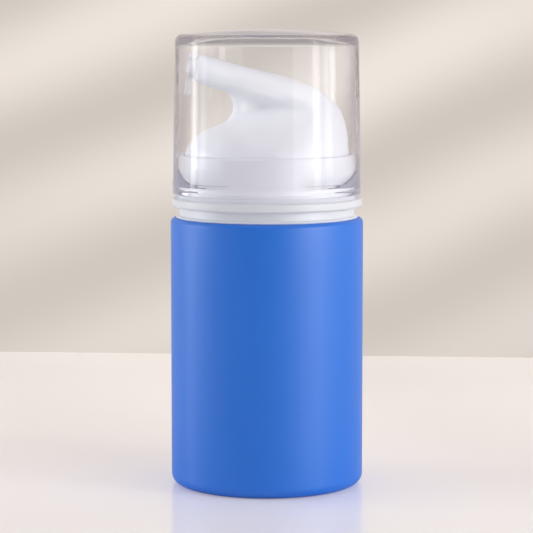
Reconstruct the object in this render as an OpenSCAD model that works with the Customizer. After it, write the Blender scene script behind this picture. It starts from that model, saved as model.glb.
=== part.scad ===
// Airless pump bottle: a clear overcap over a swan-neck head, a dosing pump on a
// snap-in shoulder, and a bottle whose follower piston rises as it empties.
// Millimetres, +Z up, origin at the middle of the bottle's foot, nozzle towards -X.

/* [Bottle] */
// Outer radius of the bottle
bottle_r = 21; // [18:0.5:26]
// Height of the bottle's lip
bottle_h = 58.6; // [50:0.5:80]
// Wall of the bottle
bottle_wall = 1.5; // [1.2:0.1:2]
// Floor of the bottle
floor_t = 1.5; // [1.2:0.1:2.5]
// Rounding at the foot
foot_round = 2.3; // [1:0.1:3]
// Rounding at the top edge
lip_round = 1.1; // [0.6:0.1:1.2]
// Depth of the hollow under the foot
foot_hollow = 0.6; // [0.3:0.1:0.9]
// Radius of the vent hole in the floor
vent_r = 1.2; // [0.8:0.05:1.3]
// Height of the ribs that the follower rests on
rest_rib_h = 0.6; // [0.4:0.1:1]

/* [Shoulder] */
// Thickness of the foot flange on the bottle's lip
flange_t = 0.6; // [0.5:0.05:1]
// Step from the bottle's bore in to the neck
neck_step = 0.47; // [0.4:0.01:0.8]
// Height of the neck under the ring
neck_h = 1.9; // [1.5:0.1:3]
// Wall of the neck
neck_wall = 0.88; // [0.7:0.01:1]
// Width of the ring beyond the neck
ring_out = 1.72; // [1.4:0.01:1.9]
// Thickness of the ring
ring_t = 1.82; // [1.5:0.02:2.4]
// Height of the snap skirt inside the bottle
skirt_h = 4.6; // [4.2:0.1:6]
// Thickness of the deck
deck_t = 1.4; // [1.2:0.1:2]
// Stiffening ribs on the deck
deck_ribs = 6; // [3:1:12]

/* [Collar] */
// Height of the collar above the ring
collar_h = 9.5; // [8.5:0.1:11]
// Wall of the collar at its mouth
collar_wall = 0.95; // [0.8:0.05:1.1]
// Widening of the collar towards the ring
collar_draft = 0.28; // [0.1:0.01:0.3]
// Height of the bead that carries the overcap
bead_h = 0.65; // [0.5:0.05:0.8]

/* [Head] */
// Wall of the head's skirt
head_wall = 1.4; // [1.1:0.1:1.8]
// Depth of the skirt below the collar's mouth
head_skirt = 5.9; // [4:0.1:5.9]
// Height of the nozzle's middle above the collar's mouth
nozzle_rise = 18.6; // [18:0.1:19.5]
// Inset of the nozzle's end face from the skirt
nozzle_inset = 1.85; // [1.8:0.05:2.6]
// Radius of the nozzle
nozzle_r = 3.08; // [2.9:0.02:3.3]
// Upward tilt of the nozzle's mouth
nozzle_tilt = 7; // [4:0.5:8]
// Rounding of the nozzle's edge
nozzle_round = 1.4; // [0.5:0.1:1.4]
// Height of the notch under the arm
notch_rise = 10.06; // [9.6:0.02:10.6]
// Distance of the notch from the axis
notch_out = 7.46; // [6.8:0.02:8]
// Thickness of the web in the fold, as a share of the full section
web_share = 0.24; // [0.2:0.02:0.4]
// Depth of the shallow hollow beside the bulb, as a share of the full section
side_hollow = 0.16; // [0:0.02:0.2]
// Radius of the channel through the head
channel_r = 1.1; // [0.9:0.05:1.2]

/* [Plug] */
// Radius of the plug's disc
disc_r = 2.12; // [1.8:0.02:2.2]
// Thickness of the disc's edge
disc_t = 1; // [0.8:0.05:1.2]
// Height of the disc's dome
disc_dome = 0.95; // [0.3:0.05:1]
// Radius of the pin in the mouth
pin_r = 1.3; // [1.2:0.05:1.5]
// Length of the pin
pin_len = 2.6; // [1.5:0.1:3]
// Width of the pull stick
stick_w = 1.35; // [1.2:0.05:1.6]
// Thickness of the pull stick
stick_t = 1; // [0.8:0.05:1.1]
// Reach of the stick below the disc's middle
stick_down = 5.9; // [4:0.1:6]
// Reach of the knob above the disc's middle
stick_up = 3.5; // [3:0.1:4]

/* [Overcap] */
// Gap between the ring and the cap's rim
cap_gap = 0.96; // [0.6:0.02:1.2]
// Wall of the cap
cap_wall = 0.93; // [0.8:0.01:1]
// Gap between the cap's wall and the foot of the collar
cap_clear = 0.22; // [0.2:0.01:0.3]
// Narrowing of the cap towards its top
cap_draft = 0.5; // [0.1:0.02:0.54]
// Step of the rim band
rim_step = 0.12; // [0.1:0.01:0.2]
// Height of the rim band
rim_h = 2.7; // [2.3:0.1:3.2]
// Room over the plug's stick when it points up
cap_headroom = 0.83; // [0.6:0.05:2]
// Thickness of the cap's top plate at the middle
cap_plate = 1.75; // [1.6:0.05:1.9]
// Rise of the crown
crown_rise = 1.05; // [0.6:0.05:1.2]
// Rounding of the cap's top edge
cap_round = 1.8; // [0.8:0.1:2]
// Angle covered by each snap rib
rib_angle = 79; // [60:1:100]
// Turn of the snap ribs about the axis
rib_turn = 16; // [0:1:119]

/* [Pump] */
// Working stroke of the pump
stroke = 7; // [5:0.1:7]
// Bore radius of the dosing chamber
chamber_r = 4.75; // [4.3:0.05:5]
// Wall of the dosing chamber
chamber_wall = 1.25; // [1:0.05:1.4]
// Thickness of the gasket
gasket_t = 0.8; // [0.6:0.1:1.2]
// Width of the housing's flange beyond the chamber
housing_flange = 3.4; // [2.8:0.1:4]
// Thickness of the housing's flange
housing_flange_t = 1.2; // [1:0.1:1.6]
// Height of the housing above its flange
housing_rise = 3.6; // [3.2:0.1:4]
// Thickness of the cover's plate
cover_t = 1.2; // [1:0.1:1.5]
// Outer radius of the stem
stem_r = 2.5; // [2.4:0.05:2.7]
// Bore radius of the stem
stem_bore_r = 1.2; // [1:0.05:1.3]
// Length of the stem inside the head's socket
socket_grip = 6.1; // [5:0.1:6.2]
// Wall of the head's socket
socket_wall = 1.2; // [1:0.05:1.3]
// Height of the pump piston
piston_h = 3.6; // [3.4:0.1:4]
// Radius of the valve balls
ball_r = 1.5; // [1.4:0.05:1.5]
// Lift of the valve balls
ball_lift = 1; // [0.6:0.05:1.1]
// Thickness of the cage over the inlet ball
cage_t = 0.8; // [0.6:0.1:1]

/* [Spring] */
// Wire radius of the spring
wire_r = 0.4; // [0.3:0.05:0.45]
// Radius of the spring to the middle of its wire
coil_r = 4.7; // [4.6:0.05:4.9]
// Turns of the spring
coil_turns = 6; // [5:0.5:6.5]

/* [Follower] */
// Wall of the follower
follower_wall = 1; // [0.8:0.1:1.3]
// Room around the pump in the follower's well
well_gap = 1.6; // [1:0.1:3]

/* [Clearances] */
// Running clearance of pistons, stems and balls
run_gap = 0.05; // [0.03:0.01:0.08]
// Clearance of pieces pushed together
seat_gap = 0.05; // [0.03:0.01:0.08]
// Clearance between the head and its collar
guide_gap = 0.3; // [0.25:0.05:0.4]
// Clearance kept at the end of a travel
stop_gap = 0.4; // [0.3:0.05:0.5]

/* [Hidden] */
round_fn = 96;
small_fn = 48;
eps = 0.01;

// Bottle and shoulder
bottle_bore_r = bottle_r - bottle_wall;
snap_depth = 0.25;
snap_drop = 2.2;
snap_h = 0.9;
snap_z = bottle_h - snap_drop;
flange_r = bottle_r - lip_round;
skirt_r = bottle_bore_r - seat_gap;
deck_z = bottle_h - skirt_h;
deck_top = deck_z + deck_t;
neck_r = bottle_bore_r - neck_step;
neck_top = bottle_h + flange_t + neck_h;
shoulder_bore_r = neck_r - neck_wall;
ring_r = neck_r + ring_out;
ring_top = neck_top + ring_t;

// Collar and head
collar_seat = neck_top + ring_t / 3;
collar_top = ring_top + collar_h;
collar_bore_r = shoulder_bore_r - 0.05;
collar_top_r = collar_bore_r + collar_wall;
collar_foot_r = collar_top_r + collar_draft;
head_r = collar_bore_r - guide_gap;
head_foot = collar_top - head_skirt;
nozzle_reach = head_r - nozzle_inset;
nozzle_z = collar_top + nozzle_rise;

// Bead that locks the cover on the housing, measured down from the housing's top
lock_out = 0.2;
lock_top = 0.5;
lock_foot = 1.1;
lock_skirt = 2.4;
lock_hook = 0.7;

// Pump, from the deck upwards
gasket_top = deck_top + gasket_t;
flange_top = gasket_top + housing_flange_t;
housing_r = chamber_r + chamber_wall;
housing_flange_r = housing_r + housing_flange;
housing_top = flange_top + housing_rise;
cover_top = housing_top + cover_t;
piston_top = housing_top - 0.1;
piston_z = piston_top - piston_h;
socket_z = cover_top + stroke + stop_gap;
socket_r = stem_r + socket_wall;
stem_top = socket_z + socket_grip;
spring_seat_z = stem_top + 0.3;
boss_r = coil_r + wire_r + 0.5;

// Valves, each ball held off its seat by the running clearance
function seat_drop(bore) = sqrt(pow(ball_r + run_gap, 2) - bore * bore);
chamber_floor = piston_z - stroke - stop_gap;
chamber_floor_t = 1.2;
chamber_slope = 0.4;
pocket_r = ball_r + 0.3;
cage_r = pocket_r + 0.5;
cage_z = chamber_floor - cage_t;
inlet_ball_z = cage_z - ball_lift - ball_r - run_gap;
inlet_r = 0.9;
inlet_seat_z = inlet_ball_z - seat_drop(inlet_r);
inlet_bottom = inlet_seat_z - 0.9;
outlet_ball_z = stem_top + 0.1;
outlet_seat_z = outlet_ball_z - seat_drop(stem_bore_r);
outlet_top = outlet_ball_z + ball_r + ball_lift + run_gap;

// Follower
rest_z = floor_t + rest_rib_h;
follower_r = bottle_bore_r - run_gap;
follower_h = deck_z - inlet_bottom + follower_wall;
well_r = housing_r + well_gap;
follower_rise = deck_z - stop_gap - rest_z - follower_h;

// Overcap
cap_z = ring_top + cap_gap;
cap_bore_foot_r = collar_foot_r + cap_clear;
cap_bore_top_r = cap_bore_foot_r - cap_draft + 0.03;
cap_foot_r = cap_bore_foot_r + cap_wall;
cap_top_r = cap_foot_r - cap_draft;
rim_r = cap_foot_r + rim_step;
cap_inner_top = nozzle_z + stick_down + cap_headroom;
cap_top = cap_inner_top + cap_plate;
bead_z = cap_z + 0.3;
bead_r = collar_foot_r + cap_clear - 0.07;
rib_z = bead_z + bead_h;
rib_h = 1.1;
rib_r = collar_foot_r + 0.04;

function arc(x, z, r, from, to, steps = 5) =
    [for (i = [0:steps]) let (a = from + (to - from) * i / steps) [x + r * cos(a), z + r * sin(a)]];

module turned(points) rotate_extrude($fn = round_fn) polygon(points);

module bottle() {
    snap_r = bottle_bore_r + snap_depth + 0.05;
    hollow_r = bottle_r - foot_round - 1.6;
    color("royalblue") {
        difference() {
            turned(concat(
                [[0, foot_hollow], [hollow_r - foot_hollow, foot_hollow], [hollow_r, 0]],
                arc(bottle_r - foot_round, foot_round, foot_round, -90, 0, 6),
                arc(bottle_r - lip_round, bottle_h - lip_round, lip_round, 0, 90, 5),
                [[bottle_bore_r, bottle_h], [bottle_bore_r, snap_z + snap_h],
                 [snap_r, snap_z + snap_h - snap_depth], [snap_r, snap_z + snap_depth],
                 [bottle_bore_r, snap_z], [bottle_bore_r, floor_t], [0, floor_t]]));
            translate([0, 0, -eps]) cylinder(r = vent_r, h = floor_t + 2 * eps, $fn = small_fn);
        }
        for (i = [0:3])
            rotate([0, 0, 45 + 90 * i]) translate([2, -0.5, floor_t - eps])
                cube([well_r - 2, 1, rest_rib_h + eps]);
    }
}

module follower() {
    top = rest_z + follower_h;
    lip_h = 1.2;
    body_r = follower_r - 0.6;
    hub_r = well_r + follower_wall;
    color("ghostwhite")
        turned([[0, rest_z], [hub_r, rest_z], [hub_r, top - follower_wall],
                [body_r - follower_wall, top - follower_wall],
                [body_r - follower_wall, rest_z + lip_h + 0.6], [follower_r - 0.7, rest_z + 0.3],
                [follower_r, rest_z + 0.3], [follower_r, rest_z + 0.7],
                [body_r, rest_z + lip_h + 0.6], [body_r, top - lip_h - 0.4],
                [follower_r, top - 0.5], [follower_r, top], [follower_r - 0.4, top],
                [body_r - 0.6, top - 0.6], [body_r - 1.6, top], [well_r, top],
                [well_r, rest_z + follower_wall], [0, rest_z + follower_wall]]);
}

module shoulder() {
    upstand_r = housing_flange_r + 0.1;
    upstand_wall = 1.1;
    upstand_top = flange_top + 0.9;
    edge = 0.45;
    foot_z = bottle_h + flange_t;
    color("white") {
        turned(concat(
            [[housing_r + 0.15, deck_z], [skirt_r - 0.3, deck_z], [skirt_r, deck_z + 0.3],
             [skirt_r, snap_z], [skirt_r + snap_depth, snap_z + snap_depth],
             [skirt_r + snap_depth, snap_z + snap_h - snap_depth], [skirt_r, snap_z + snap_h],
             [skirt_r, bottle_h]],
            arc(flange_r - 0.25, bottle_h + 0.25, 0.25, -90, 0, 3),
            [[flange_r - 0.1, foot_z - 0.2], [neck_r + 0.3, foot_z - 0.02], [neck_r, foot_z + 0.25],
             [neck_r, neck_top]],
            arc(ring_r - edge, neck_top + edge, edge, -90, 0, 4),
            arc(ring_r - edge, ring_top - edge, edge, 0, 90, 4),
            [[collar_foot_r + seat_gap, ring_top], [collar_foot_r + seat_gap, collar_seat],
             [shoulder_bore_r, collar_seat], [shoulder_bore_r, deck_top],
             [upstand_r + upstand_wall, deck_top], [upstand_r + upstand_wall, upstand_top],
             [upstand_r - 0.1, upstand_top], [upstand_r - 0.3, upstand_top - 0.4],
             [upstand_r - 0.3, flange_top + 0.05], [upstand_r, flange_top + 0.05],
             [upstand_r, deck_top], [housing_r + 0.15, deck_top]]));
        for (i = [0:deck_ribs - 1])
            rotate([0, 0, 30 + 360 / deck_ribs * i])
                translate([upstand_r + upstand_wall - 0.3, -0.45, deck_top - 0.3])
                    cube([shoulder_bore_r - upstand_r - upstand_wall + 0.8, 0.9, 1.9]);
    }
}

module collar() {
    edge = 0.6;
    color("white")
        turned(concat(
            [[collar_bore_r, collar_seat], [collar_foot_r, collar_seat], [collar_foot_r, bead_z],
             [bead_r, bead_z + 0.25], [bead_r, bead_z + bead_h], [collar_foot_r, bead_z + bead_h]],
            arc(collar_top_r - edge, collar_top - edge, edge, 0, 90, 4),
            [[collar_bore_r + 0.2, collar_top], [collar_bore_r, collar_top - 0.2]]));
}

module gasket() {
    color("gainsboro")
        difference() {
            translate([0, 0, deck_top]) cylinder(r = housing_flange_r - 0.1, h = gasket_t, $fn = round_fn);
            translate([0, 0, deck_top - eps])
                cylinder(r = housing_r + 0.1, h = gasket_t + 2 * eps, $fn = round_fn);
        }
}

module pump_housing() {
    nose_r = 4.2;
    color("ghostwhite")
        turned([[inlet_r, inlet_bottom], [nose_r, inlet_bottom],
                [nose_r, chamber_floor - chamber_floor_t - chamber_slope],
                [housing_r, chamber_floor - chamber_floor_t], [housing_r, gasket_top],
                [housing_flange_r, gasket_top], [housing_flange_r, flange_top],
                [housing_r, flange_top], [housing_r, housing_top - lock_foot],
                [housing_r + lock_out, housing_top - lock_foot + 0.3],
                [housing_r + lock_out, housing_top - lock_top],
                [housing_r, housing_top], [chamber_r + 0.2, housing_top],
                [chamber_r, housing_top - 0.2], [chamber_r, chamber_floor],
                [cage_r, chamber_floor], [cage_r, cage_z], [pocket_r, cage_z],
                [pocket_r, inlet_seat_z + pocket_r - inlet_r], [inlet_r, inlet_seat_z]]);
}

module housing_cover() {
    skirt_wall = 1;
    inner_r = housing_r + lock_out + seat_gap;
    outer_r = inner_r + skirt_wall;
    foot = housing_top - lock_skirt;
    hook_r = inner_r - lock_out;
    guide_in = coil_r + wire_r + 0.25;
    guide_out = guide_in + 0.8;
    guide_top = cover_top + 0.8;
    color("white")
        turned([[stem_r + run_gap, housing_top], [inner_r, housing_top],
                [inner_r, housing_top - lock_foot + 0.15], [hook_r, housing_top - lock_foot - 0.05],
                [hook_r, foot + lock_hook], [inner_r, foot],
                [outer_r, foot], [outer_r, cover_top - 0.3], [outer_r - 0.3, cover_top],
                [guide_out, cover_top], [guide_out, guide_top],
                [guide_in + 0.2, guide_top], [guide_in, guide_top - 0.2],
                [guide_in, cover_top], [stem_r + run_gap, cover_top]]);
}

module inlet_ball() color("silver") translate([0, 0, inlet_ball_z]) sphere(r = ball_r, $fn = small_fn);

module outlet_ball() color("silver") translate([0, 0, outlet_ball_z]) sphere(r = ball_r, $fn = small_fn);

module valve_cage() {
    slot_w = 1;
    color("white")
        difference() {
            translate([0, 0, cage_z]) cylinder(r = cage_r - 0.03, h = cage_t, $fn = small_fn);
            translate([0, 0, cage_z - eps]) cylinder(r = 0.7, h = cage_t + 2 * eps, $fn = small_fn);
            for (i = [0:1])
                rotate([0, 0, 90 * i])
                    translate([-pocket_r + 0.1, -slot_w / 2, cage_z - eps])
                        cube([2 * pocket_r - 0.2, slot_w, cage_t + 2 * eps]);
        }
}

module pump_piston() {
    lip_r = chamber_r - run_gap;
    land_r = lip_r - 0.3;
    color("whitesmoke")
        turned([[stem_r + 0.02, piston_z + 0.9], [stem_r + 0.8, piston_z + 0.9],
                [stem_r + 0.8, piston_z + 1.4], [land_r - 0.6, piston_z + 1.4],
                [lip_r - 0.5, piston_z], [lip_r, piston_z], [lip_r, piston_z + 0.3],
                [land_r, piston_z + 1.2], [land_r, piston_top - 1.1], [lip_r, piston_top - 0.3],
                [lip_r, piston_top], [lip_r - 0.5, piston_top],
                [land_r - 0.6, piston_top - 1.2], [stem_r + 0.8, piston_top - 1.2],
                [stem_r + 0.8, piston_top - 0.2], [stem_r + 0.02, piston_top - 0.2]]);
}

module stem() {
    color("white")
        turned([[stem_bore_r, piston_z], [stem_r + 0.7, piston_z], [stem_r + 0.7, piston_z + 0.9],
                [stem_r, piston_z + 0.9], [stem_r, stem_top - 0.15], [stem_r - 0.15, stem_top],
                [stem_bore_r + stem_top - outlet_seat_z, stem_top],
                [stem_bore_r, outlet_seat_z]]);
}

// Helix of the return spring: closed end turns with a wider pitch between them
spring_z = cover_top + wire_r;
spring_rise = spring_seat_z - cover_top - 2 * wire_r;
coil_rings = 8;
coil_sides = 6;
end_turn = 0.8;
closed_pitch = 2 * wire_r + 0.45;
open_turns = coil_turns - 2 * end_turn;
open_pitch = (spring_rise - 2 * end_turn * closed_pitch) / open_turns;
function coil_z(turn) =
    spring_z + closed_pitch * min(turn, end_turn)
    + open_pitch * min(max(turn - end_turn, 0), open_turns)
    + closed_pitch * max(turn - end_turn - open_turns, 0);
function coil_ring(turn) =
    [for (k = [0:coil_sides - 1])
        let (a = 360 * turn, b = 360 * k / coil_sides, r = coil_r + wire_r * cos(b))
        [r * cos(a), r * sin(a), coil_z(turn) + wire_r * sin(b)]];
coil_steps = coil_turns * coil_rings;
coil_gaps = [for (i = [0:coil_steps - coil_rings])
    coil_z((i + coil_rings) / coil_rings) - coil_z(i / coil_rings) - 2 * wire_r];

module return_spring() {
    n = coil_sides;
    points = [for (i = [0:coil_steps]) each coil_ring(i / coil_rings)];
    walls = [for (i = [0:coil_steps - 1]) for (k = [0:n - 1])
        let (a = i * n + k, b = i * n + (k + 1) % n)
        each [[a, a + n, b + n], [a, b + n, b]]];
    ends = [for (k = [1:n - 2]) each
        [[0, k, k + 1], [coil_steps * n, coil_steps * n + k + 1, coil_steps * n + k]]];
    echo(least_spring_gap = min(coil_gaps));
    color("silver") polyhedron(points, concat(walls, ends));
}

// Outlines of the head in its plane of symmetry, as chains of cubic curves whose
// lengths run from the collar's mouth to the nozzle. Heights are above the mouth.
mouth_back = nozzle_reach - nozzle_round * cos(nozzle_tilt);
mouth_rise = nozzle_rise - nozzle_round * sin(nozzle_tilt);
across = nozzle_r * [sin(nozzle_tilt), cos(nozzle_tilt)];
outer_line = [[head_r, 0], [head_r, 2.9], [head_r - 0.07, 6.03], [head_r - 1.2, 8.7],
              [head_r - 2.6, 12], [10.8, 14.55], [6.5, 16],
              [1.85, 17.56], [-3.47, 18.52], [-8.2, 19.8],
              [-10.4, 20.39], [-12.5, 20.95], [-mouth_back, mouth_rise] + across];
inner_line = [[-head_r, 0], [-head_r, 1.9], [-14.9, 4.8], [-11.4, 5.95],
              [-notch_out - 1.3, notch_rise - 3.25], [-notch_out, notch_rise - 1.8],
              [-notch_out, notch_rise],
              [-notch_out, notch_rise + 1.85], [-notch_out - 1.2, notch_rise + 3.45],
              [-notch_out - 2.85, notch_rise + 3.9],
              [-12, 14.4], [-13.7, 14.9], [-mouth_back, mouth_rise] - across];

function cubic(p, t) = let (s = 1 - t)
    s * s * s * p[0] + 3 * s * s * t * p[1] + 3 * s * t * t * p[2] + t * t * t * p[3];
function on_line(line, t) =
    let (parts = (len(line) - 1) / 3, i = min(floor(t * parts), parts - 1))
    cubic([for (k = [0:3]) line[3 * i + k]], t * parts - i);
function ease(x) = let (c = min(max(x, 0), 1)) c * c * (3 - 2 * c);

// Share of the full thickness that is left at a place of a section. A deep fold with a
// thicker lip runs in from the notch, over a shallow hollow beside the bulb.
function thinning(t, u) =
    let (fold = exp(-pow((t - 0.375 + 0.115 * u) / max(0.065 - 0.12 * u, 0.065), 2)),
         lip = 0.5 * exp(-pow((u + 1) / 0.25, 2)),
         hollow = side_hollow * exp(-pow((t - 0.34) / 0.19, 2)) * min(t / 0.1, 1))
    (1 - (1 - web_share) * (1 - lip) * fold * (1 - ease((u + 0.5) / 0.95)))
    * (1 - hollow * (1 - ease((u + 0.1) / 0.6)));
function head_section(t, sides) =
    let (inner = on_line(inner_line, t), outer = on_line(outer_line, t),
         mid = (inner + outer) / 2, half = (outer - inner) / 2,
         depth = norm(half) * (1 - 0.14 * sin(180 * t)))
    [for (k = [0:sides - 1]) let (a = 360 * k / sides, u = cos(a))
        [mid[0] + half[0] * u, depth * sin(a) * thinning(t, u), collar_top + mid[1] + half[1] * u]];
function mouth_section(a, sides) =
    let (out = nozzle_round * sin(a), r = nozzle_r - nozzle_round * (1 - cos(a)))
    [for (k = [0:sides - 1]) let (b = 360 * k / sides)
        [-mouth_back - out * cos(nozzle_tilt) + r * cos(b) * sin(nozzle_tilt), r * sin(b),
         collar_top + mouth_rise + out * sin(nozzle_tilt) + r * cos(b) * cos(nozzle_tilt)]];

module head_shell() {
    sides = 36;
    sections = 36;
    rings = concat([[for (p = head_section(0, sides)) [p[0], p[1], head_foot]]],
                   [for (i = [0:sections]) head_section(i / sections, sides)],
                   [for (a = [30:30:90]) mouth_section(a, sides)]);
    last = (len(rings) - 1) * sides;
    walls = [for (i = [0:len(rings) - 2]) for (k = [0:sides - 1])
        let (a = i * sides + k, b = i * sides + (k + 1) % sides)
        each [[a, b, b + sides], [a, b + sides, a + sides]]];
    ends = [for (k = [1:sides - 2]) each [[0, k + 1, k], [last, last + k, last + k + 1]]];
    polyhedron([for (ring = rings) each ring], [for (f = concat(walls, ends)) [f[2], f[1], f[0]]]);
}

module at_mouth() translate([-nozzle_reach, 0, nozzle_z]) rotate([0, nozzle_tilt - 90, 0]) children();

module head_hollow() {
    bore = head_r - head_wall;
    dome = 6.4;
    foot = collar_top - 0.2;
    core_x = 9;
    core_foot_r = 5.2;
    core_tip_r = 3.9;
    core_h = 12;
    turned(concat([[0, head_foot - 1], [bore, head_foot - 1]],
                  [for (i = [0:9]) [bore * cos(10 * i), foot + dome * sin(10 * i)]]));
    translate([core_x, 0, collar_top - 1])
        cylinder(r1 = core_foot_r, r2 = core_tip_r, h = core_h, $fn = small_fn);
}

module head_channel() {
    pin_depth = pin_len + stop_gap;
    turn_x = -nozzle_reach + pin_depth * cos(nozzle_tilt);
    turn_z = nozzle_z - pin_depth * sin(nozzle_tilt);
    arm_fall = 14.5;
    arm_len = -turn_x / cos(arm_fall);
    slot_w = 0.8;
    at_mouth() translate([0, 0, -pin_depth])
        cylinder(r = pin_r + run_gap, h = pin_depth + 1, $fn = small_fn);
    translate([turn_x, 0, turn_z]) rotate([0, 90 + arm_fall, 0]) translate([0, 0, -0.3])
        cylinder(r = channel_r, h = arm_len + 0.3, $fn = small_fn);
    translate([0, 0, outlet_top - eps])
        cylinder(r = channel_r, h = turn_z + turn_x * tan(arm_fall) + 0.6 - outlet_top, $fn = small_fn);
    translate([0, 0, stem_top]) cylinder(r = pocket_r, h = outlet_top - stem_top, $fn = small_fn);
    translate([-pocket_r, -slot_w / 2, outlet_top - eps]) cube([2 * pocket_r, slot_w, slot_w]);
    translate([0, 0, socket_z - 1])
        cylinder(r = stem_r + run_gap, h = stem_top + 0.1 - socket_z + 1, $fn = small_fn);
}

module actuator() {
    color("white")
        difference() {
            union() {
                difference() {
                    head_shell();
                    head_hollow();
                }
                translate([0, 0, socket_z])
                    cylinder(r = socket_r, h = collar_top + 6.5 - socket_z, $fn = small_fn);
                translate([0, 0, spring_seat_z])
                    cylinder(r = boss_r, h = collar_top + 6.5 - spring_seat_z, $fn = small_fn);
            }
            head_channel();
        }
}

module nozzle_plug() {
    stick_z = disc_t / 2;
    corner = 0.3;
    dome_r = (disc_r * disc_r + disc_dome * disc_dome) / (2 * disc_dome);
    dome_angle = asin(disc_r / dome_r);
    color("gainsboro")
        at_mouth() {
            turned(concat(
                [[0, -pin_len], [pin_r - 0.25, -pin_len], [pin_r, 0.25 - pin_len], [pin_r, 0],
                 [disc_r, 0]],
                arc(0, disc_t + disc_dome - dome_r, dome_r, 90 - dome_angle, 90, 5)));
            translate([0, 0, stick_z]) linear_extrude(stick_t)
                hull() {
                    for (y = [-1, 1]) translate([corner - stick_down, y * (stick_w / 2 - corner)])
                        circle(r = corner, $fn = 24);
                    translate([stick_up - stick_w / 2, 0]) circle(r = stick_w / 2, $fn = 24);
                }
        }
}

module overcap() {
    inner_round = 0.8;
    lead = 0.9;
    shoulder_z = cap_top - crown_rise;
    crown_half = cap_top_r - cap_round;
    crown_r = (crown_half * crown_half + crown_rise * crown_rise) / (2 * crown_rise);
    crown_angle = asin(crown_half / crown_r);
    color("lightblue", 0.35) {
        turned(concat(
            [[cap_bore_foot_r + 0.25, cap_z], [rim_r - 0.15, cap_z], [rim_r, cap_z + 0.15],
             [rim_r, cap_z + rim_h - rim_step], [cap_foot_r, cap_z + rim_h]],
            arc(cap_top_r - cap_round, shoulder_z - cap_round, cap_round, 0, 90 - crown_angle, 5),
            arc(0, cap_top - crown_r, crown_r, 90 - crown_angle, 90, 6),
            [[0, cap_inner_top]],
            arc(cap_bore_top_r - inner_round, cap_inner_top - inner_round, inner_round, 90, 0, 4),
            [[cap_bore_foot_r, cap_z + lead]]));
        for (i = [0:2])
            rotate([0, 0, 120 * i + (120 - rib_angle) / 2 + rib_turn])
                rotate_extrude(angle = rib_angle, $fn = round_fn)
                    polygon([[cap_bore_foot_r + 0.3, rib_z], [rib_r, rib_z],
                             [rib_r, rib_z + rib_h * 0.6], [cap_bore_foot_r + 0.3, rib_z + rib_h]]);
    }
}

bottle();
follower();
shoulder();
collar();
gasket();
pump_housing();
housing_cover();
inlet_ball();
valve_cage();
pump_piston();
stem();
outlet_ball();
return_spring();
actuator();
nozzle_plug();
overcap();
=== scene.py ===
import math

import bpy
from mathutils import Matrix, Vector


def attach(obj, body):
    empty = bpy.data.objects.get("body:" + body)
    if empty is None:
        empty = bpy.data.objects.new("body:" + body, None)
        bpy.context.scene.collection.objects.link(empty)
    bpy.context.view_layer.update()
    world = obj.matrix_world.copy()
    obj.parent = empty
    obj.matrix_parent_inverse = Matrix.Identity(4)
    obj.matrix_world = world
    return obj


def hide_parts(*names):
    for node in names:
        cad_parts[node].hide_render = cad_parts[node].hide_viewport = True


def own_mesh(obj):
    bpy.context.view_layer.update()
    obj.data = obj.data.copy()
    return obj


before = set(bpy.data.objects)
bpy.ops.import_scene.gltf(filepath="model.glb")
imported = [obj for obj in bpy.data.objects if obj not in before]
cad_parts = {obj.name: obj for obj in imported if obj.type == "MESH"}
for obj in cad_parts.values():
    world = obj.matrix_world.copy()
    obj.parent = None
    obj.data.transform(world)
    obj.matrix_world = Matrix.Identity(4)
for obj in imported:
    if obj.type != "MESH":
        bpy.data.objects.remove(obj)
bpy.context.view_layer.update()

MM = 0.001
ROUND = 160  # sides of a large turned piece
SMALL = 64  # sides of a small one

# Bottle
BOTTLE_R = 21.0
BOTTLE_H = 58.6
BOTTLE_BORE = 19.5
FLOOR_T = 1.5
FOOT_ROUND = 2.3
FOOT_BAND = 1.6
LIP_ROUND = 1.1
FOOT_HOLLOW = 0.6
VENT_R = 1.2

# Shoulder
DECK_Z = 54.0
DECK_TOP = 55.4
SKIRT_R = 19.45
SNAP_Z = 56.4
SNAP_H = 0.9
SNAP_DEPTH = 0.25
FLANGE_R = 19.9
FLANGE_TOP = 59.2
NECK_R = 19.03
NECK_TOP = 61.1
NECK_BORE = 18.15
RING_R = 20.75
RING_TOP = 62.92
COLLAR_SEAT = 61.71
HOUSING_HOLE_R = 6.15
UPSTAND_R = 10.6
UPSTAND_BORE = 9.5
UPSTAND_TOP = 58.3
HOOK_R = 9.2
HOOK_Z = 57.45

# Collar
COLLAR_TOP = 72.42
COLLAR_BORE = 18.1
COLLAR_TOP_R = 19.05
COLLAR_FOOT_R = 19.33
BEAD_R = 19.48
BEAD_Z = 64.18
BEAD_H = 0.65

# Head
HEAD_R = 17.8
HEAD_FOOT = 66.52
HEAD_WALL = 1.4
NOZZLE_REACH = 15.95
NOZZLE_Z = 91.02
NOZZLE_R = 3.08
NOZZLE_TILT = math.radians(7)
NOZZLE_ROUND = 1.4
WEB_SHARE = 0.24  # of the full thickness, left at the bottom of the web's fold
SIDE_HOLLOW = 0.16  # of the thickness, taken off the flanks
MID_SLIM = 0.14  # of a section's half width, taken off halfway up the head
HEAD_SIDES = 96
HEAD_SECTIONS = 110
SOCKET_Z = 69.6
SOCKET_R = 3.7
BOSS_R = 5.6
BOSS_Z = 76.0
STEM_R = 2.55

# Plug
DISC_R = 2.12
DISC_T = 1.0
DISC_DOME = 0.95
PIN_R = 1.3
PIN_LEN = 2.6
PIN_PLAY = 0.05
PIN_SPACE = 0.4
STICK_W = 1.35
STICK_T = 1.0
STICK_DOWN = 5.9
STICK_UP = 3.5

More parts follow.
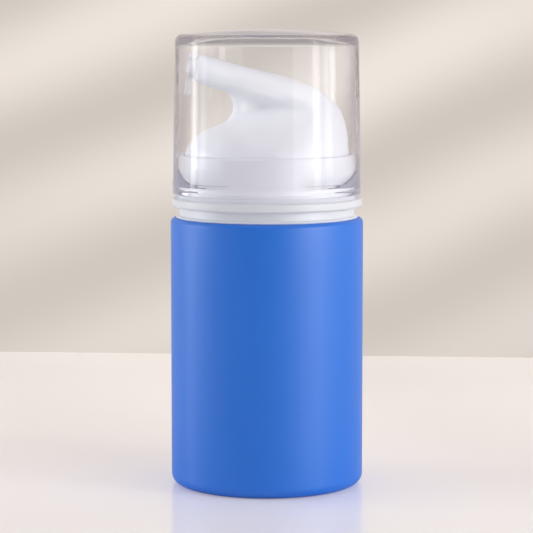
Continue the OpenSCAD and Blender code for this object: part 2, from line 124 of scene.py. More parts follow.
# Overcap
CAP_Z = 63.88
CAP_TOP = 99.5
CAP_INNER_TOP = 97.75
CAP_FOOT_R = 20.48
CAP_TOP_R = 19.98
CAP_BORE_FOOT = 19.55
CAP_BORE_TOP = 19.08
RIM_R = 20.6
RIM_H = 2.7
CROWN_RISE = 1.05
CAP_ROUND = 1.8
CAP_INNER_ROUND = 2.0
CAP_LEAD = 0.63
CAP_SIDES = 216
RIB_Z = 64.83
RIB_H = 1.1
RIB_R = 19.37
RIB_COUNT = 3
RIB_ANGLE = 79
RIB_TURN = 16
RIB_TAPER = 6  # degrees at each end

# Return spring
SPRING_FOOT = 62.2
SPRING_SEAT = 76.0
WIRE_R = 0.4
COIL_R = 4.7
COIL_TURNS = 6
END_TURN = 0.8
END_GAP = 0.45


# Modelling


def object_mode():
    if bpy.context.mode != "OBJECT":
        bpy.ops.object.mode_set(mode="OBJECT")


def nothing_selected():
    object_mode()
    for o in bpy.context.selected_objects:
        o.select_set(False)


def take(obj):
    """Makes obj the one selected object."""
    nothing_selected()
    obj.select_set(True)
    bpy.context.view_layer.objects.active = obj
    return obj


def edit_all(obj):
    """Edit mode with the whole mesh selected."""
    take(obj)
    bpy.ops.object.mode_set(mode="EDIT")
    bpy.ops.mesh.select_all(action="SELECT")


def choose(obj, kind, test):
    """In edit mode, selects the vertices, edges or faces whose middle, in millimetres, passes the test."""
    bpy.ops.object.mode_set(mode="OBJECT")
    me = obj.data
    for group in (me.vertices, me.edges, me.polygons):
        group.foreach_set("select", [False] * len(group))
    group = {"VERT": me.vertices, "EDGE": me.edges, "FACE": me.polygons}[kind]
    for item in group:
        if kind == "VERT":
            at = item.co
        elif kind == "EDGE":
            at = (me.vertices[item.vertices[0]].co + me.vertices[item.vertices[1]].co) / 2
        else:
            at = item.center
        item.select = bool(test(at / MM))
    bpy.ops.object.mode_set(mode="EDIT")
    bpy.ops.mesh.select_mode(type=kind)


def near(a, b):
    return abs(a - b) < 0.01


def arc(x, z, r, start, end, steps=8):
    """Points of a rounding, in degrees from the outward direction."""
    turn = [math.radians(start + (end - start) * i / steps) for i in range(steps + 1)]
    return [(x + r * math.cos(a), z + r * math.sin(a)) for a in turn]


def turned(name, profile, sides=ROUND, start_pole=False, end_pole=False, sharp=32):
    """A turned piece: one ring is extruded and resized from point to point of its half outline."""
    nothing_selected()
    r, z = profile[0]
    bpy.ops.mesh.primitive_circle_add(vertices=sides, radius=r * MM, location=(0, 0, z * MM),
                                      fill_type="TRIFAN" if start_pole else "NOTHING")
    obj = bpy.context.object
    obj.name = name
    bpy.ops.object.transform_apply(location=True)
    if start_pole:
        edit_all(obj)
        bpy.ops.mesh.select_mode(type="VERT")
        choose(obj, "VERT", lambda p: math.hypot(p.x, p.y) > r / 2)
        bpy.ops.mesh.select_mode(type="EDGE")
    else:
        edit_all(obj)
        bpy.ops.mesh.select_mode(type="EDGE")
    points = profile[1:] if end_pole or start_pole else profile[1:] + profile[:1]
    for r2, z2 in points:
        bpy.ops.mesh.extrude_edges_move(TRANSFORM_OT_translate={"value": (0, 0, (z2 - z) * MM)})
        bpy.ops.transform.resize(value=(r2 / r, r2 / r, 1), center_override=(0, 0, 0))
        r, z = r2, z2
    if end_pole:
        bpy.ops.mesh.extrude_edges_move()
        bpy.ops.mesh.merge(type="CENTER")
    closed_up(obj, sharp)
    return obj


def closed_up(obj, sharp=32):
    """Merges doubles, turns the faces outward and smooths all but the sharp edges."""
    edit_all(obj)
    bpy.ops.mesh.remove_doubles(threshold=0.002 * MM)
    bpy.ops.mesh.normals_make_consistent(inside=False)
    take(obj)
    bpy.ops.object.shade_smooth_by_angle(angle=math.radians(sharp))


def joined(name, *pieces):
    """One object of several closed pieces."""
    nothing_selected()
    for o in pieces:
        o.select_set(True)
    bpy.context.view_layer.objects.active = pieces[0]
    bpy.ops.object.join()
    obj = bpy.context.object
    obj.name = name
    return obj


def placed(obj, place):
    """Moves a finished mesh to its place, and leaves the object at the origin."""
    obj.matrix_world = place
    take(obj)
    bpy.ops.object.transform_apply(location=True, rotation=True, scale=True)
    return obj


# Pieces


def make_bottle():
    """The shell, from its vent hole over the foot, the lip and the snap groove down to the floor inside."""
    hollow = BOTTLE_R - FOOT_ROUND - FOOT_BAND
    snap_play, corner = 0.05, 0.4
    snap_r = BOTTLE_BORE + SNAP_DEPTH + snap_play
    profile = (
        [(VENT_R, FOOT_HOLLOW), (hollow - FOOT_HOLLOW, FOOT_HOLLOW), (hollow, 0)]
        + arc(BOTTLE_R - FOOT_ROUND, FOOT_ROUND, FOOT_ROUND, -90, 0, 14)
        + [(BOTTLE_R, z) for z in (12, 24, 36, 48)]
        + arc(BOTTLE_R - LIP_ROUND, BOTTLE_H - LIP_ROUND, LIP_ROUND, 0, 90, 10)
        + [(BOTTLE_BORE, BOTTLE_H), (BOTTLE_BORE, SNAP_Z + SNAP_H),
           (snap_r, SNAP_Z + SNAP_H - SNAP_DEPTH), (snap_r, SNAP_Z + SNAP_DEPTH),
           (BOTTLE_BORE, SNAP_Z), (BOTTLE_BORE, FLOOR_T + corner), (BOTTLE_BORE - corner, FLOOR_T),
           (VENT_R, FLOOR_T)])
    return turned("bottle_body", profile)


def make_shoulder():
    """Skirt, foot flange, neck and ring outside, and inside them the deck with the upstand that the
    pump clips into."""
    edge, flange_edge, corner, collar_play = 0.45, 0.25, 0.3, 0.05
    profile = (
        [(HOUSING_HOLE_R, DECK_Z), (SKIRT_R - corner, DECK_Z), (SKIRT_R, DECK_Z + corner), (SKIRT_R, SNAP_Z),
         (SKIRT_R + SNAP_DEPTH, SNAP_Z + SNAP_DEPTH),
         (SKIRT_R + SNAP_DEPTH, SNAP_Z + SNAP_H - SNAP_DEPTH), (SKIRT_R, SNAP_Z + SNAP_H),
         (SKIRT_R, BOTTLE_H)]
        + arc(FLANGE_R - flange_edge, BOTTLE_H + flange_edge, flange_edge, -90, 60, 6)
        + [(NECK_R + 0.35, FLANGE_TOP - 0.03), (NECK_R + 0.1, FLANGE_TOP + 0.05),
           (NECK_R, FLANGE_TOP + 0.3), (NECK_R, NECK_TOP - 0.2), (NECK_R + 0.2, NECK_TOP)]
        + arc(RING_R - edge, NECK_TOP + edge, edge, -90, 0, 8)
        + arc(RING_R - edge, RING_TOP - edge, edge, 0, 90, 8)
        + [(COLLAR_FOOT_R + collar_play, RING_TOP), (COLLAR_FOOT_R + collar_play, COLLAR_SEAT),
           (NECK_BORE, COLLAR_SEAT), (NECK_BORE, DECK_TOP + corner), (NECK_BORE - corner, DECK_TOP),
           (UPSTAND_R, DECK_TOP), (UPSTAND_R, UPSTAND_TOP), (HOOK_R + 0.2, UPSTAND_TOP),
           (HOOK_R, UPSTAND_TOP - 0.4), (HOOK_R, HOOK_Z), (UPSTAND_BORE, HOOK_Z),
           (UPSTAND_BORE, DECK_TOP), (HOUSING_HOLE_R, DECK_TOP)])
    return turned("shoulder_ring", profile)


def make_collar():
    """The sleeve round the head's skirt, with the bead that the cap rests on near its foot."""
    edge, corner, bead_slope = 0.6, 0.2, 0.25
    profile = (
        [(COLLAR_BORE, COLLAR_SEAT), (COLLAR_FOOT_R, COLLAR_SEAT), (COLLAR_FOOT_R, BEAD_Z),
         (BEAD_R, BEAD_Z + bead_slope), (BEAD_R, BEAD_Z + BEAD_H), (COLLAR_FOOT_R, BEAD_Z + BEAD_H)]
        + arc(COLLAR_TOP_R - edge, COLLAR_TOP - edge, edge, 0, 90, 10)
        + [(COLLAR_BORE + corner, COLLAR_TOP), (COLLAR_BORE, COLLAR_TOP - corner)])
    return turned("collar_band", profile)


def cubic(p, t):
    """A point on the cubic curve with the four control points p."""
    s = 1 - t
    return p[0] * s ** 3 + p[1] * (3 * s * s * t) + p[2] * (3 * s * t * t) + p[3] * t ** 3


def on_line(line, t):
    """A point on a chain of cubic curves, with t from 0 to 1 over the whole chain."""
    parts = (len(line) - 1) // 3
    i = min(int(t * parts), parts - 1)
    return cubic(line[3 * i:3 * i + 4], t * parts - i)


def ease(x):
    """A soft step from 0 to 1."""
    c = min(max(x, 0), 1)
    return c * c * (3 - 2 * c)


def head_lines():
    """Outer and inner outline of the head in its plane of symmetry, as chains of cubic curves from the
    collar's mouth to the nozzle, and the middle of the nozzle where its mouth starts to round."""
    across = Vector((math.sin(NOZZLE_TILT), math.cos(NOZZLE_TILT))) * NOZZLE_R
    mouth = Vector((-(NOZZLE_REACH - NOZZLE_ROUND * math.cos(NOZZLE_TILT)),
                    NOZZLE_Z - COLLAR_TOP - NOZZLE_ROUND * math.sin(NOZZLE_TILT)))
    outer = [(17.8, 0), (17.8, 2.9), (17.73, 6.03), (16.6, 8.7), (15.2, 12), (10.8, 14.55), (6.5, 16),
             (1.85, 17.56), (-3.47, 18.52), (-8.2, 19.8), (-10.4, 20.39), (-12.5, 20.95)]
    inner = [(-17.8, 0), (-17.8, 1.9), (-14.9, 4.8), (-11.4, 5.95), (-8.76, 6.81), (-7.46, 8.26),
             (-7.46, 10.06), (-7.46, 11.91), (-8.66, 13.51), (-10.31, 13.96), (-12, 14.4), (-13.7, 14.9)]
    outer_line = [Vector(p) for p in outer] + [mouth + across]
    inner_line = [Vector(p) for p in inner] + [mouth - across]
    return outer_line, inner_line, mouth


def thinning(t, u):
    """Share of the full thickness at a place of the head: t runs from foot to mouth, and u from the inner
    outline at -1 to the outer one at 1. A deep fold runs in from the notch over a broad hollow."""
    fold_at = 0.375 - 0.115 * u
    fold_width = max(0.065 - 0.12 * u, 0.065)
    fold = math.exp(-((t - fold_at) / fold_width) ** 2) * (1 - ease((u + 0.5) / 0.95))
    lip = 0.5 * math.exp(-((u + 1) / 0.25) ** 2)
    hollow_at, hollow_width, start = 0.34, 0.19, 0.1
    hollow = math.exp(-((t - hollow_at) / hollow_width) ** 2) * (1 - ease((u + 0.1) / 0.6))
    hollow *= min(t / start, 1)
    return (1 - (1 - WEB_SHARE) * (1 - lip) * fold) * (1 - SIDE_HOLLOW * hollow)


def head_sections():
    """Rings of points from the collar's mouth up the head, round the nozzle's edge and into its socket."""
    outer_line, inner_line, mouth = head_lines()
    rings = []
    for i in range(HEAD_SECTIONS + 1):
        t = i / HEAD_SECTIONS
        inner, outer = on_line(inner_line, t), on_line(outer_line, t)
        mid, half = (inner + outer) / 2, (outer - inner) / 2
        depth = half.length * (1 - MID_SLIM * math.sin(math.pi * t))
        ring = []
        for k in range(HEAD_SIDES):
            a = 2 * math.pi * k / HEAD_SIDES
            u = math.cos(a)
            ring.append((mid.x + half.x * u, depth * math.sin(a) * thinning(t, u),
                         COLLAR_TOP + mid.y + half.y * u))
        rings.append(ring)
    for degrees in range(15, 91, 15):
        a = math.radians(degrees)
        out, r = NOZZLE_ROUND * math.sin(a), NOZZLE_R - NOZZLE_ROUND * (1 - math.cos(a))
        rings.append(mouth_ring(mouth, out, r))
    rings.append(mouth_ring(mouth, NOZZLE_ROUND, PIN_R + PIN_PLAY))
    rings.append(mouth_ring(mouth, NOZZLE_ROUND - PIN_LEN - PIN_SPACE, PIN_R + PIN_PLAY))
    return rings


def mouth_ring(mouth, out, r):
    """A ring across the nozzle, moved out along it from the start of the mouth's rounding."""
    c, s = math.cos(NOZZLE_TILT), math.sin(NOZZLE_TILT)
    turn = [2 * math.pi * k / HEAD_SIDES for k in range(HEAD_SIDES)]
    return [(mouth.x - out * c + r * math.cos(b) * s, r * math.sin(b),
             COLLAR_TOP + mouth.y + out * s + r * math.cos(b) * c) for b in turn]


def lofted(name, rings):
    """A closed skin through rings of points, in millimetres, with its ends filled."""
    sides = len(rings[0])
    last = (len(rings) - 1) * sides
    faces = []
    for low in range(0, last, sides):
        for k in range(sides):
            after = (k + 1) % sides
            faces.append((low + k, low + after, low + sides + after, low + sides + k))
    faces += [tuple(reversed(range(sides))), tuple(range(last, last + sides))]
    me = bpy.data.meshes.new(name)
    me.from_pydata([Vector(p) * MM for ring in rings for p in ring], [], faces)
    obj = bpy.data.objects.new(name, me)
    bpy.context.scene.collection.objects.link(obj)
    return obj


def make_head():
    """The lofted shell, hollow up to a domed roof, and the socket for the stem that stands in it."""
    bore = HEAD_R - HEAD_WALL
    roof_z, roof_rise = COLLAR_TOP - 0.2, 6.4
    socket_top = COLLAR_TOP + 6.3
    turn = [2 * math.pi * k / HEAD_SIDES for k in range(HEAD_SIDES)]

    def level(r, z):
        return [(r * math.cos(a), r * math.sin(a), z) for a in turn]

    dome = []
    for degrees in range(75, -1, -15):
        a = math.radians(degrees)
        dome.append(level(bore * math.cos(a), roof_z + roof_rise * math.sin(a)))
    skirt = [level(bore, HEAD_FOOT), level(HEAD_R, HEAD_FOOT), level(HEAD_R, HEAD_FOOT + 2),
             level(HEAD_R, COLLAR_TOP - 1)]
    shell = lofted("head_shell", dome + skirt + head_sections())
    closed_up(shell, 40)
    socket = turned("head_socket", [(STEM_R, SOCKET_Z), (SOCKET_R, SOCKET_Z), (SOCKET_R, BOSS_Z),
                                    (BOSS_R, BOSS_Z), (BOSS_R, socket_top), (STEM_R, socket_top)], SMALL)
    return joined("head", shell, socket)


def mouth_place():
    """The plug's own frame: +Z out of the nozzle and -X down its mouth."""
    return (Matrix.Translation(Vector((-NOZZLE_REACH, 0, NOZZLE_Z)) * MM)
            @ Matrix.Rotation(NOZZLE_TILT - math.pi / 2, 4, "Y"))


def make_plug():
    """A pin in the nozzle, a domed disc on its mouth, and a stick across the disc to pull it by."""
    dome_r = (DISC_R ** 2 + DISC_DOME ** 2) / (2 * DISC_DOME)
    dome_foot = 90 - math.degrees(math.asin(DISC_R / dome_r))
    dome = arc(0, DISC_T + DISC_DOME - dome_r, dome_r, dome_foot + 4, 88, 8)
    pin_edge, disc_edge = 0.25, 0.15
    disc = turned("plug_disc", [(PIN_R - pin_edge, -PIN_LEN), (PIN_R, pin_edge - PIN_LEN), (PIN_R, 0),
                                (DISC_R - disc_edge, 0), (DISC_R, disc_edge), (DISC_R, DISC_T - 0.1)] + dome,
                  SMALL, start_pole=True, end_pole=True, sharp=40)
    return placed(joined("plug", disc, make_stick()), mouth_place())


def make_stick():
    """A flat stick with a round upper end and softened edges."""
    low, high = DISC_T / 2, DISC_T / 2 + STICK_T
    middle = ((STICK_UP - STICK_DOWN) / 2 * MM, 0, (low + high) / 2 * MM)
    size = ((STICK_DOWN + STICK_UP) * MM, STICK_W * MM, STICK_T * MM)
    nothing_selected()
    bpy.ops.mesh.primitive_cube_add(size=1, location=middle, scale=size)
    stick = bpy.context.object
    bpy.ops.object.transform_apply(location=True, scale=True)

    def corner_at(x):
        return lambda p: near(p.x, x) and near(abs(p.y), STICK_W / 2)

    edit_all(stick)
    choose(stick, "EDGE", corner_at(STICK_UP))
    bpy.ops.mesh.bevel(offset=STICK_W * 0.49 * MM, segments=8)
    choose(stick, "EDGE", corner_at(-STICK_DOWN))
    bpy.ops.mesh.bevel(offset=0.3 * MM, segments=4)
    choose(stick, "FACE", lambda p: near(p.z, high) or near(p.z, low))
    bpy.ops.mesh.region_to_loop()
    bpy.ops.mesh.bevel(offset=0.16 * MM, segments=3)
    closed_up(stick, 40)
    return stick


def make_overcap():
    """A tapered cup with a domed crown and a rim band, and three snap ribs in its bore."""
    wall_top = CAP_TOP - CROWN_RISE - CAP_ROUND
    wall_foot = CAP_Z + RIM_H
    half = CAP_TOP_R - CAP_ROUND
    crown_r = (half ** 2 + CROWN_RISE ** 2) / (2 * CROWN_RISE)
    crown_edge = 90 - math.degrees(math.asin(half / crown_r))
    taper_steps = 6

    def bore(z):
        return CAP_BORE_FOOT + (CAP_BORE_TOP - CAP_BORE_FOOT) * (z - CAP_Z) / (CAP_INNER_TOP - CAP_Z)

    rib_levels = [RIB_Z + 0.08, RIB_Z + 0.2, RIB_Z + RIB_H - 0.12, RIB_Z + RIB_H]
    crown = arc(0, CAP_TOP - crown_r, crown_r, 88.5, crown_edge, 12)
    edge = arc(CAP_TOP_R - CAP_ROUND, wall_top, CAP_ROUND, crown_edge - 8, 0, 10)
    taper = [(CAP_TOP_R + (CAP_FOOT_R - CAP_TOP_R) * k / taper_steps,
              wall_top + (wall_foot - wall_top) * k / taper_steps) for k in range(1, taper_steps + 1)]
    rim = [(RIM_R - 0.02, wall_foot - 0.06), (RIM_R, wall_foot - 0.16), (RIM_R, CAP_Z + 0.15),
           (RIM_R - 0.05, CAP_Z + 0.05), (RIM_R - 0.15, CAP_Z)]
    lead_in = [(CAP_BORE_FOOT + 0.25, CAP_Z), (bore(CAP_Z + CAP_LEAD), CAP_Z + CAP_LEAD)]
    wall = [(bore(z), z) for z in rib_levels + [70, 76, 82, 88, 94]]
    roof = (arc(CAP_BORE_TOP - CAP_INNER_ROUND, CAP_INNER_TOP - CAP_INNER_ROUND, CAP_INNER_ROUND, 0, 90, 12)
            + [(r, CAP_INNER_TOP) for r in (12, 6, 1)])
    cap = turned("cap_shell", crown + edge + taper + rim + lead_in + wall + roof, CAP_SIDES,
                 start_pole=True, end_pole=True, sharp=40)
    raise_ribs(cap, rib_levels[1:3], bore)
    return cap


def raise_ribs(cap, levels, bore):
    """Pushes the bore's two rib rings inward along three arcs, tapering each end to a point."""
    apart = 360 / RIB_COUNT
    starts = [apart * i + (apart - RIB_ANGLE) / 2 + RIB_TURN for i in range(RIB_COUNT)]
    middle = (levels[0] + levels[1]) / 2
    for v in cap.data.vertices:
        x, y, z = v.co / MM
        r = math.hypot(x, y)
        level = [h for h in levels if near(z, h)]
        if not level or not near(r, bore(level[0])):
            continue
        past = [(math.degrees(math.atan2(y, x)) - start) % 360 for start in starts]
        from_end = max(min(a, RIB_ANGLE - a) for a in past)
        if from_end <= 0:
            continue
        share = min(from_end / RIB_TAPER, 1)
        new = r + (RIB_R - r) * share
        v.co.x, v.co.y = x * new / r * MM, y * new / r * MM
        v.co.z = (middle + (z - middle) * (0.2 + 0.8 * share)) * MM


def make_spring():
    """A wire coil round the stem, closer wound at both ends."""
    rise = SPRING_SEAT - SPRING_FOOT - 2 * WIRE_R
    end_pitch = 2 * WIRE_R + END_GAP
    open_turns = COIL_TURNS - 2 * END_TURN
    pitch = (rise - 2 * END_TURN * end_pitch) / open_turns
    steps = 32  # points in a turn

    def height(turn):
        return (SPRING_FOOT + WIRE_R + end_pitch * min(turn, END_TURN)
                + pitch * min(max(turn - END_TURN, 0), open_turns)
                + end_pitch * max(turn - END_TURN - open_turns, 0))

    path = bpy.data.curves.new("spring_wire", "CURVE")
    path.dimensions = "3D"
    path.bevel_depth = WIRE_R * MM
    path.bevel_resolution = 3
    path.use_fill_caps = True
    line = path.splines.new("POLY")
    line.points.add(COIL_TURNS * steps)
    for i, p in enumerate(line.points):
        a = 2 * math.pi * i / steps
        p.co = (COIL_R * math.cos(a) * MM, COIL_R * math.sin(a) * MM, height(i / steps) * MM, 1)
    wire = bpy.data.objects.new("spring_wire", path)
    bpy.context.scene.collection.objects.link(wire)
    take(wire)
    bpy.ops.object.convert(target="MESH")
    wire = bpy.context.object
    closed_up(wire, 50)
    return wire


# Materials


class Value:
    """One socket of a material's tree. Arithmetic on values adds the Math nodes."""

    def __init__(self, finish, socket):
        self.finish, self.socket = finish, socket

    def __add__(self, other):
        return self.finish.math("ADD", self, other)

    def __sub__(self, other):
        return self.finish.math("SUBTRACT", self, other)

    def __rsub__(self, other):
        return self.finish.math("SUBTRACT", other, self)

    def __mul__(self, other):
        return self.finish.math("MULTIPLY", self, other)

    __radd__, __rmul__ = __add__, __mul__


class Finish:
    """A material and the nodes in it."""

    def __init__(self, name, owner=None):
        self.material = owner or bpy.data.materials.new(name)
        self.material.use_nodes = True
        self.tree = self.material.node_tree
        self.tree.nodes.clear()
        self.where = self.add("ShaderNodeTexCoord", output="Object")

    def math(self, operation, a, b):
        return self.add("ShaderNodeMath", {"operation": operation}, {0: a, 1: b})

    def add(self, kind, settings=None, inputs=None, output=0):
        """Adds a node: its settings first, then the values or links of its sockets. Returns one output."""
        node = self.tree.nodes.new(kind)
        for name, value in (settings or {}).items():
            if name == "stops":
                self.stops(node.color_ramp, value)
            else:
                setattr(node, name, value)
        for name, value in (inputs or {}).items():
            if isinstance(value, Value):
                self.tree.links.new(value.socket, node.inputs[name])
            else:
                node.inputs[name].default_value = value
        return Value(self, node.outputs[output]) if node.outputs else None

    def stops(self, ramp, stops):
        """Gives a colour ramp its stops, each a place and a grey value."""
        while len(ramp.elements) < len(stops):
            ramp.elements.new(0.5)
        for element, (at, value) in zip(ramp.elements, stops):
            element.position = at
            element.color = (value, value, value, 1)

    def noise(self, scale, detail=2.0, rough=0.5, stretch=(1, 1, 1)):
        """Fractal noise from 0 to 1, with scale in waves a metre."""
        spread = self.add("ShaderNodeMapping", {}, {"Vector": self.where, "Scale": stretch})
        return self.add("ShaderNodeTexNoise", {}, {"Vector": spread, "Scale": scale, "Detail": detail,
                                                  "Roughness": rough})

    def bands(self, across, per_metre, wander):
        """Soft light bands that wander and fade: across is the direction they follow each other in."""
        drift = self.noise(7, 2)
        fade = self.noise(4, 1)
        along = self.along(self.where, across)
        wave = self.math("SINE", (along + drift * (wander / per_metre)) * (2 * math.pi * per_metre), 0)
        return (wave * 0.5 + 0.5) * (fade * 2.4 - 0.7)

    def along(self, where, direction):
        """How far a vector reaches in a direction."""
        ends = {0: where, 1: direction}
        return self.add("ShaderNodeVectorMath", {"operation": "DOT_PRODUCT"}, ends, output=1)

    def ray(self, kind):
        """1 for light rays of a kind, such as Camera, and 0 for all others."""
        return self.add("ShaderNodeLightPath", output="Is %s Ray" % kind)

    def mix(self, share, first, second):
        """The first shader, or the second by a share."""
        return self.add("ShaderNodeMixShader", {}, {0: share, 1: first, 2: second})

    def tint(self, share, a, b):
        """Colour from a to b by a share."""
        return self.add("ShaderNodeMix", {"data_type": "RGBA"}, {"Factor": share, 6: a, 7: b}, output=2)

    def bump(self, height, depth):
        """A relief of the given depth in metres."""
        return self.add("ShaderNodeBump", {}, {"Height": height, "Distance": depth, "Strength": 1.0})

    def show(self, shader, **depth):
        """Ends the tree in a surface, and in a volume where the material has one."""
        self.add("ShaderNodeOutputMaterial", {}, {"Surface": shader, **depth})
        return self.material


def rgb(r, g, b):
    """An sRGB colour in 0..255 as a linear one."""
    def lin(c):
        c /= 255
        return c / 12.92 if c <= 0.04045 else ((c + 0.055) / 1.055) ** 2.4
    return (lin(r), lin(g), lin(b), 1)


def moulded(name, dark, light, rough, grain, depth, **extra):
    """Moulded plastic: a slow drift in colour, a grain in the gloss, and a fine orange-peel skin."""
    f = Finish(name)
    drift = f.noise(55, 3)
    fine = f.noise(grain, 3, 0.6)
    inputs = {"Base Color": f.tint(drift, dark, light), "Roughness": (fine - 0.5) * 0.12 + rough,
              "Normal": f.bump(fine, depth)}
    inputs.update(extra)
    return f.show(f.add("ShaderNodeBsdfPrincipled", {}, inputs))


def metal(name, colour, rough):
    """Polished wire or ball: faint drawing marks change its gloss."""
    f = Finish(name)
    marks = f.noise(900, 2, 0.5, (1, 1, 6))
    return f.show(f.add("ShaderNodeBsdfPrincipled", {}, {
        "Base Color": f.tint(marks, colour, tuple(c * 0.85 for c in colour[:3]) + (1,)),
        "Metallic": 1.0, "Roughness": marks * 0.1 + rough, "Normal": f.bump(marks, 0.002 * MM)}))


def clear_plastic(name):
    """Clear cap, with painted shade that makes its wall greyer where it is seen at a slant. Light that would
    be caught inside the wall leaves it greyer too, and lamps shine through to what stands under it."""
    f = Finish(name)
    ripple = f.noise(60, 2)
    slant = f.add("ShaderNodeLayerWeight", {}, {"Blend": 0.5}, "Facing")
    # Painted shade: the wall's colour turns greyer where it is seen at a slant, for the darker edges of the
    # clear wall.
    slant_shade = f.add("ShaderNodeValToRGB", {"stops": [(0.45, 0), (0.66, 1)]}, {"Fac": slant})
    wall = f.add("ShaderNodeBsdfPrincipled", {}, {
        "Base Color": f.tint(slant_shade, rgb(254, 254, 255), rgb(226, 224, 231)), "Roughness": ripple * 0.02,
        "IOR": 1.49, "Specular Tint": (0.26, 0.26, 0.26, 1), "Transmission Weight": 1.0,
        "Normal": f.bump(ripple, 0.01 * MM)})
    caught = f.add("ShaderNodeBsdfTransparent", {}, {"Color": rgb(188, 187, 198)})
    inside = f.add("ShaderNodeNewGeometry", output="Backfacing")
    steep = f.add("ShaderNodeValToRGB", {"stops": [(0.25, 0), (0.28, 1)]}, {"Fac": slant})
    wall = f.mix(inside * steep, wall, caught)
    through = f.add("ShaderNodeBsdfTransparent", {}, {"Color": rgb(250, 250, 253)})
    haze = f.add("ShaderNodeVolumeAbsorption", {}, {"Color": (0.72, 0.72, 0.745, 1), "Density": 100.0})
    return f.show(f.mix(f.ray("Shadow"), wall, through), Volume=haze)


def milky(name):
    """Translucent polypropylene of the plug."""
    f = Finish(name)
    cloud = f.noise(400, 3)
    return f.show(f.add("ShaderNodeBsdfPrincipled", {}, {
        "Base Color": f.tint(cloud, rgb(246, 247, 250), rgb(253, 253, 255)), "Roughness": cloud * 0.15 + 0.18,
        "Transmission Weight": 0.25, "IOR": 1.45, "Normal": f.bump(cloud, 0.01 * MM)}))


# Stage

VIEW_TURN = math.radians(14)
AHEAD = Vector((math.sin(VIEW_TURN), math.cos(VIEW_TURN), 0))
RIGHT = Vector((math.cos(VIEW_TURN), -math.sin(VIEW_TURN), 0))
UP = Vector((0, 0, 1))
CAMERA_BACK = 0.5008
CAMERA_Z = 0.1017
CAMERA_PITCH = math.radians(6.155)
LENS_MM = 155.3
SENSOR_MM = 36
SHIFT_X = -0.0008
WALL_BACK = 0.192
WALL_TURN = math.radians(4.5)


def panel(name, along, up, centre, width, height):
    """A flat stage piece: along and up are its two edges' directions."""
    nothing_selected()
    bpy.ops.mesh.primitive_plane_add(size=1)
    obj = bpy.context.object
    obj.name = name
    place = Matrix((along * width, up * height, along.cross(up))).transposed().to_4x4()
    place.translation = centre
    return placed(obj, place)


def make_stage():
    """A pale glossy floor, which runs on under a warm wall a hand's breadth behind the bottle."""
    depth, width, height, behind = 2.4, 3.2, 1.8, 0.15
    along = RIGHT * math.cos(WALL_TURN) - AHEAD * math.sin(WALL_TURN)
    floor = panel("studio_floor", RIGHT, AHEAD, AHEAD * (WALL_BACK + behind - depth / 2), width, depth)
    wall = panel("studio_wall", along, UP, AHEAD * WALL_BACK + UP * height / 2, width, height)
    floor.data.materials.append(floor_finish())
    wall.data.materials.append(wall_finish())


def floor_finish():
    """Lacquered white board with soft window light across it, and a glow that only the camera sees."""
    f = Finish("studio_floor")
    cloud = f.noise(5, 2)
    bands = f.bands((0.35, 1, 0), 9, 0.6)
    return f.show(f.add("ShaderNodeBsdfPrincipled", {}, {
        "Emission Color": f.tint(f.ray("Camera"), (0, 0, 0, 1), rgb(126, 119, 115)), "Emission Strength": 1.0,
        "Base Color": f.tint(bands, rgb(244, 239, 237), rgb(252, 249, 247)), "Roughness": cloud * 0.05 + 0.15,
        "Specular IOR Level": 0.35}))


def wall_finish():
    """Warm board with soft slanting window light, seen from its front only."""
    f = Finish("studio_wall")
    bands = f.bands((-0.45, 0, 1), 20, 0.4)
    board = f.add("ShaderNodeBsdfPrincipled", {}, {
        "Base Color": f.tint(bands, rgb(222, 213, 204), rgb(250, 242, 233)), "Roughness": 0.9,
        "Specular IOR Level": 0.1})
    glow = f.add("ShaderNodeEmission", {}, {"Color": f.tint(bands, rgb(209, 200, 192), rgb(238, 229, 221))})
    seen = f.math("MINIMUM", f.ray("Camera") + f.ray("Glossy") + f.ray("Transmission"), 1.0)
    back = f.add("ShaderNodeNewGeometry", output="Backfacing")
    return f.show(f.mix(back, f.mix(seen, board, glow), f.add("ShaderNodeBsdfTransparent")))


def lamp(name, side, distance, width, height, radiance, colour, lift=0.0):
    """A softbox that stands on the floor, turned to the right from the camera's direction by side, in
    degrees. One with a lift hangs that many degrees above the horizon instead."""
    data = bpy.data.lights.new(name, "AREA")
    data.shape = "RECTANGLE"
    data.size, data.size_y = width, height
    data.energy = radiance * math.pi * width * height
    data.color = colour
    obj = bpy.data.objects.new(name, data)
    bpy.context.scene.collection.objects.link(obj)
    a, e = math.radians(side), math.radians(lift)
    out = (RIGHT * math.sin(a) - AHEAD * math.cos(a)) * math.cos(e) + UP * math.sin(e)
    obj.location = out * distance + UP * (0 if lift else height / 2)
    obj.rotation_mode = "QUATERNION"
    obj.rotation_quaternion = (-out).to_track_quat("-Z", "Y")
    obj.visible_camera = False
    return obj


def make_camera():
    """The camera stands in front and a little to the left, and looks a little down."""
    data = bpy.data.cameras.new("camera")
    data.lens = LENS_MM
    data.sensor_width = SENSOR_MM
    data.shift_x = SHIFT_X
    obj = bpy.data.objects.new("camera", data)
    bpy.context.scene.collection.objects.link(obj)
    obj.location = -AHEAD * CAMERA_BACK + UP * CAMERA_Z
    obj.rotation_mode = "QUATERNION"
    ahead = AHEAD * math.cos(CAMERA_PITCH) - UP * math.sin(CAMERA_PITCH)
    obj.rotation_quaternion = ahead.to_track_quat("-Z", "Y")
    bpy.context.scene.camera = obj


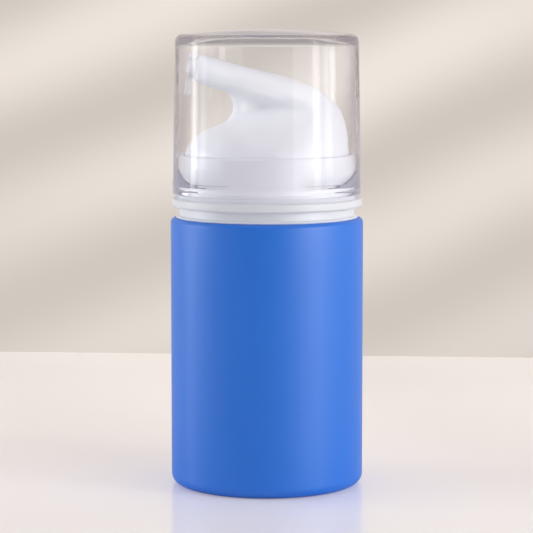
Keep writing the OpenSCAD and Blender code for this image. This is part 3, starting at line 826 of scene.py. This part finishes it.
def make_light():
    """Strip softboxes on both sides, broad soft fill beside them, and a room that is darkest in front."""
    warm, cool, plain = (1, 0.995, 0.985), (0.96, 0.98, 1), (1, 1, 1)
    lamp("strip_right", 63.5, 0.75, 0.12, 0.60, 6.8, warm)
    lamp("strip_right_soft", 82, 0.75, 0.14, 0.60, 1.9, warm)
    lamp("strip_left", -101, 0.75, 0.12, 0.50, 5.2, cool)
    lamp("strip_left_soft", -85, 0.75, 0.12, 0.50, 2.2, cool)
    lamp("fill_right", 47, 0.95, 0.50, 0.55, 2.4, warm)
    lamp("fill_left", -80, 0.95, 0.70, 0.50, 1.7, cool).visible_glossy = False
    lamp("overhead", 10, 1.0, 0.7, 0.7, 0.42, plain, 72)
    world = bpy.data.worlds.new("studio")
    bpy.context.scene.world = world
    room = Finish("studio", world)
    across = room.along(room.add("ShaderNodeTexCoord", output="Generated"), RIGHT)
    even = room.tint(across * across, rgb(112, 114, 118), rgb(212, 214, 219))
    pale = room.tint(room.ray("Camera") + room.ray("Transmission"), even, rgb(236, 230, 225))
    room.add("ShaderNodeOutputWorld", {}, {"Surface": room.add("ShaderNodeBackground", {}, {"Color": pale})})


# Assembly


def fit(obj, body, slot, material, *nodes):
    """Finishes a new piece: its material, its body and the CAD nodes it stands for. The slot is not used."""
    obj.data.materials.clear()
    obj.data.materials.append(material)
    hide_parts(*nodes)
    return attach(obj, body)


def paint(material, *nodes):
    """Gives nodes that keep their own shape a material."""
    for node in nodes:
        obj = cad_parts[node]
        obj.data.materials.clear()
        obj.data.materials.append(material)


bpy.context.scene.view_settings.view_transform = "Standard"

blue = moulded("blue_satin", rgb(14, 117, 230), rgb(18, 122, 236), 0.42, 2600, 0.006 * MM,
               **{"Specular IOR Level": 0.85})
white = moulded("white_plastic", rgb(236, 238, 243), rgb(240, 242, 247), 0.3, 900, 0.003 * MM)
natural = moulded("natural_plastic", rgb(232, 232, 228), rgb(240, 240, 236), 0.38, 900, 0.004 * MM)
piston = moulded("piston_white", rgb(226, 230, 234), rgb(234, 238, 241), 0.45, 1200, 0.004 * MM)
rubber = moulded("seal_rubber", rgb(196, 198, 200), rgb(206, 208, 210), 0.62, 1600, 0.01 * MM)
ball_steel = metal("valve_steel", rgb(214, 215, 218), 0.08)
wire_steel = metal("spring_steel", rgb(205, 207, 210), 0.18)
plug_milk = milky("milky_plastic")
clear = clear_plastic("clear_plastic")

fit(make_bottle(), "base", "bottle_blue", blue, "bottle")
fit(make_shoulder(), "base", "white_plastic", white, "shoulder")
fit(make_collar(), "base", "white_plastic", white, "collar")
fit(make_head(), "head", "white_plastic", white, "actuator")
fit(make_plug(), "stopper", "milky_plastic", plug_milk, "nozzle_plug")
fit(make_overcap(), "cap", "clear_plastic", clear, "overcap")
spring = fit(make_spring(), "base", "spring_steel", wire_steel, "return_spring")
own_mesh(spring)

paint(natural, "pump_housing", "stem", "valve_cage")
paint(white, "housing_cover")
paint(piston, "follower", "pump_piston")
paint(rubber, "gasket")
paint(ball_steel, "inlet_ball", "outlet_ball")

make_stage()
make_light()
make_camera()
